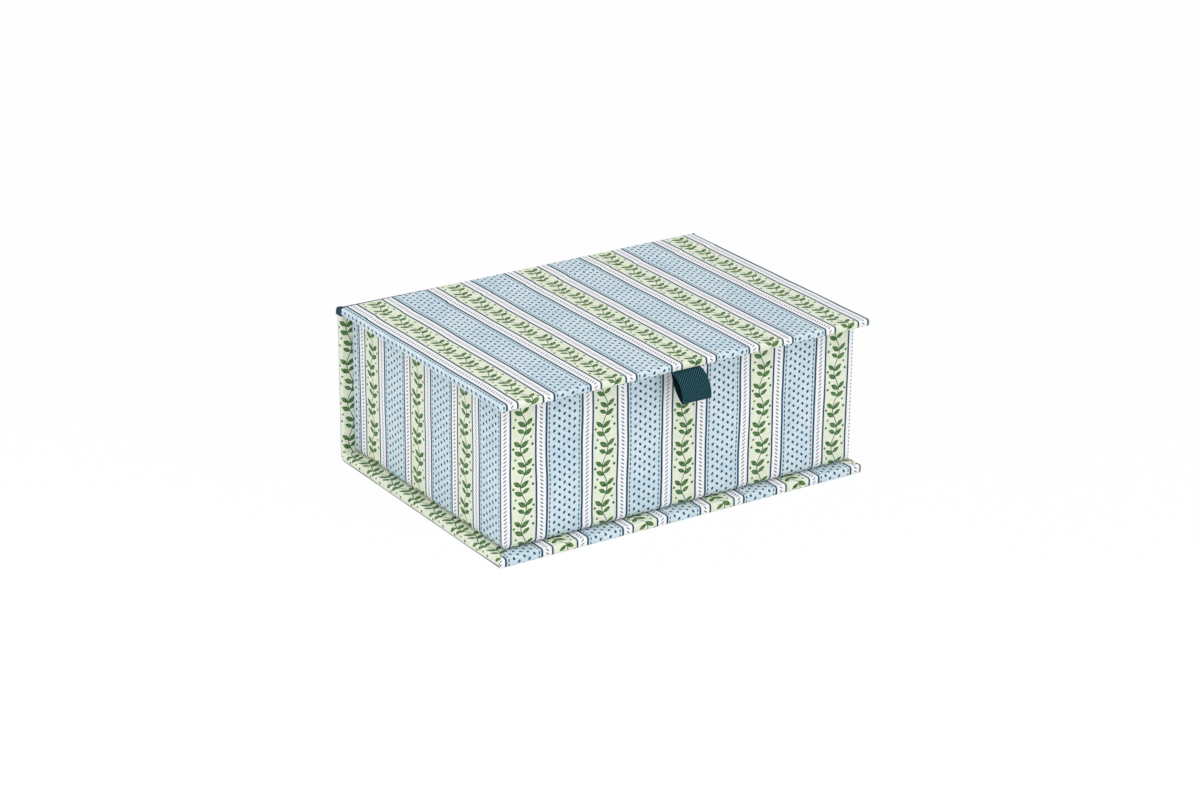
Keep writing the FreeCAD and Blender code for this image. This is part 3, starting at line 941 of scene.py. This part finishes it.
def ribbonTree():
    tree = bpy.data.node_groups.new("wovenRibbon", "GeometryNodeTree")
    face = tree.interface
    face.new_socket(name="Path", in_out="INPUT", socket_type="NodeSocketGeometry")
    for name in ("Width", "Thickness", "Edge Round", "Step", "Profile Step", "Rib Height", "Rib Pitch",
                 "Rib Rise", "Middle"):
        face.new_socket(name=name, in_out="INPUT", socket_type="NodeSocketFloat")
    face.new_socket(name="Ribbon", in_out="OUTPUT", socket_type="NodeSocketGeometry")
    wire = Wire(tree)

    def given(name):
        return wire.node("NodeGroupInput", {}, {}, name)

    def stored(geometry, name, value, kind="FLOAT"):
        return wire.node("GeometryNodeStoreNamedAttribute", {"data_type": kind, "domain": "POINT"},
                         {"Geometry": geometry, "Name": name, "Value": value})

    path = wire.node("GeometryNodeMeshToCurve", {}, {"Mesh": given("Path")})
    path = wire.node("GeometryNodeResampleCurve", {"mode": "LENGTH"},
                     {"Curve": path, "Length": given("Step")})
    path = wire.node("GeometryNodeSetCurveNormal", {"mode": "FREE"}, {"Curve": path, "Normal": (1, 0, 0)})
    path = stored(path, "along", wire.node("GeometryNodeSplineParameter", {}, {}, "Length"))
    profile = wire.node("GeometryNodeCurvePrimitiveQuadrilateral", {},
                        {"Width": given("Width"), "Height": given("Thickness")})
    profile = wire.node("GeometryNodeFilletCurve", {"mode": "POLY"},
                        {"Curve": profile, "Radius": given("Edge Round"), "Count": ribbonPull["edgeSteps"]})
    profile = wire.node("GeometryNodeResampleCurve", {"mode": "LENGTH"},
                        {"Curve": profile, "Length": given("Profile Step")})
    # above 0 on the side facing inside the loop, where the twill gets painted shade
    place = wire.node("GeometryNodeInputPosition")
    profile = stored(profile, "loopShade", place.part(1) * -1 / given("Thickness"))
    made = wire.node("GeometryNodeCurveToMesh", {},
                     {"Curve": path, "Profile Curve": profile, "Fill Caps": True})
    # slanting ribs, and the weave's own flat coordinates for the finish
    along = wire.node("GeometryNodeInputNamedAttribute", {"data_type": "FLOAT"}, {"Name": "along"})
    across = place.part(0) - given("Middle")
    weave = wire.node("ShaderNodeCombineXYZ", {}, {0: across, 1: along})
    made = stored(made, "weave", weave, "FLOAT_VECTOR")
    rib = (across + along * given("Rib Rise")) * (2 * math.pi) / given("Rib Pitch")
    rise = wire.node("ShaderNodeVectorMath", {"operation": "SCALE"},
                     {0: wire.node("GeometryNodeInputNormal"), "Scale": rib.sine() * given("Rib Height")})
    made = wire.node("GeometryNodeSetPosition", {}, {"Geometry": made, "Offset": rise})
    made = wire.node("GeometryNodeRealizeInstances", {}, {"Geometry": made})
    made = wire.node("GeometryNodeSetMaterial", {}, {"Geometry": made, "Material": twillFinish})
    wire.node("NodeGroupOutput", {}, {"Ribbon": made})
    return tree


def makeRibbon():
    r = ribbonPull
    path = ribbonPath()
    middle = (anchorLow.x + anchorHigh.x) / 2
    width = anchorHigh.x - anchorLow.x
    mesh = bpy.data.meshes.new("ribbon_loop")
    mesh.from_pydata([(middle, y, z) for y, z in path], [(i, i + 1) for i in range(len(path) - 1)], [])
    piece = placed("ribbon_loop", mesh)
    modifier = piece.modifiers.new("woven", "NODES")
    modifier.node_group = ribbonTree()
    sizes = {"Width": width, "Thickness": r["gauge"], "Edge Round": r["edgeRound"], "Step": r["step"],
             "Profile Step": r["profileStep"], "Rib Height": r["ribHeight"],
             "Rib Pitch": twill["pitch"] * mm, "Rib Rise": twill["rise"], "Middle": middle}
    for item in modifier.node_group.interface.items_tree:
        if item.in_out == "INPUT" and item.name in sizes:
            modifier[item.identifier] = sizes[item.name]
    settle(piece)
    lean = math.radians(r["lean"])
    root = Vector((0, *r["root"]))
    below = root + Vector((0, -math.sin(lean), -math.cos(lean))) * r["blendOver"]
    dress(piece, ("lid", "pull"), "ribbon", "ribbon_anchor", "ribbon_pull", between=(root, below))


def finishNodes():
    # boards and linings keep their shapes and get their finish
    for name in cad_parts:
        node = bpy.data.objects.get(name)
        finish = boardFinish if name.endswith("_board") else liningPaper if "_lining" in name else None
        if node and finish and not node.hide_render:
            node.data.materials.clear()
            node.data.materials.append(finish)


coverLid()
coverCase()
wrapTray()
layHinge()
makeRibbon()
finishNodes()
print("pieces made")

# floor and background
floorLook = {"size": 6.0, "drop": 0.05 * mm, "tint": srgb(245, 245, 245), "glow": 0.94}


def seenDirectly(wire):
    # 1 for what the camera sees, directly, mirrored or through glass
    path = [wire.node("ShaderNodeLightPath", {}, {}, name) for name in
            ("Is Camera Ray", "Is Glossy Ray", "Is Transmission Ray")]
    return path[0].highest(path[1]).highest(path[2])


def makeStage():
    material, wire = newMaterial("floorFinish")
    matt = wire.node("ShaderNodeBsdfDiffuse", {}, {"Color": floorLook["tint"]})
    glow = wire.node("ShaderNodeEmission", {}, {"Color": (1, 1, 1, 1), "Strength": 1.0})
    seen = seenDirectly(wire) * floorLook["glow"]
    both = wire.node("ShaderNodeMixShader", {}, {0: seen, 1: matt, 2: glow})
    wire.node("ShaderNodeOutputMaterial", {}, {"Surface": both})
    h = floorLook["size"] / 2
    mesh = bpy.data.meshes.new("floor")
    mesh.from_pydata([(-h, -h, 0), (h, -h, 0), (h, h, 0), (-h, h, 0)], [], [(0, 1, 2, 3)])
    mesh.transform(Matrix.Translation((0, 0, -floorLook["drop"])))
    mesh.materials.append(material)
    floor = placed("floor", mesh)
    world = bpy.data.worlds.new("softRoom")
    bpy.context.scene.world = world
    world.use_nodes = True
    world.node_tree.nodes.clear()
    wire = Wire(world.node_tree)
    strength = seenDirectly(wire) * (1 - lights["room"]) + lights["room"]
    room = wire.node("ShaderNodeBackground", {}, {"Color": (1, 1, 1, 1), "Strength": strength})
    wire.node("ShaderNodeOutputWorld", {}, {"Surface": room})


# lamps: name, place, size in metres, watts
lights = {
    "room": 0.65,
    "lamps": [("key", (0.35, -1.6, 0.55), 1.3, 5.8), ("fill", (-1.5, -0.4, 0.75), 1.3, 6.3),
              ("top", (-0.55, -0.65, 1.6), 1.4, 10.2)],
}


def makeLights():
    middle = (cadLow + cadHigh) / 2
    for name, place, size, power in lights["lamps"]:
        lamp = bpy.data.lights.new(name, "AREA")
        lamp.shape = "DISK"
        lamp.size = size
        lamp.energy = power
        holder = placed(name, lamp)
        holder.location = place
        holder.rotation_euler = (middle - Vector(place)).to_track_quat("-Z", "Y").to_euler()


# the photograph's viewpoint, found from the box's corners; pixels in its 1200 x 800 frame
shot = {"yaw": -33.46, "pitch": 22.109, "roll": 0.465, "away": 1706.355 * mm, "focalPixels": 3168.88,
        "aim": (0, 0, 39 * mm), "sideways": -0.428 * mm, "upward": 0.035 * mm,
        "imageWidth": 1200, "film": 36.0}


def makeCamera():
    yaw, pitch, roll = (math.radians(shot[k]) for k in ("yaw", "pitch", "roll"))
    back = Vector((math.sin(yaw) * math.cos(pitch), -math.cos(yaw) * math.cos(pitch), math.sin(pitch)))
    right = Vector((math.cos(yaw), math.sin(yaw), 0))
    up = back.cross(right)
    right, up = (math.cos(roll) * right + math.sin(roll) * up, math.cos(roll) * up - math.sin(roll) * right)
    place = Vector(shot["aim"]) + right * shot["sideways"] + up * shot["upward"] + back * shot["away"]
    camera = placed("camera", bpy.data.cameras.new("camera"))
    camera.matrix_world = Matrix.Translation(place) @ Matrix((right, up, back)).transposed().to_4x4()
    camera.data.sensor_width = shot["film"]
    camera.data.lens = shot["focalPixels"] / shot["imageWidth"] * shot["film"]
    bpy.context.scene.camera = camera


makeStage()
makeLights()
makeCamera()
bpy.context.scene.view_settings.view_transform = "Standard"
print("stage, lights and camera set")
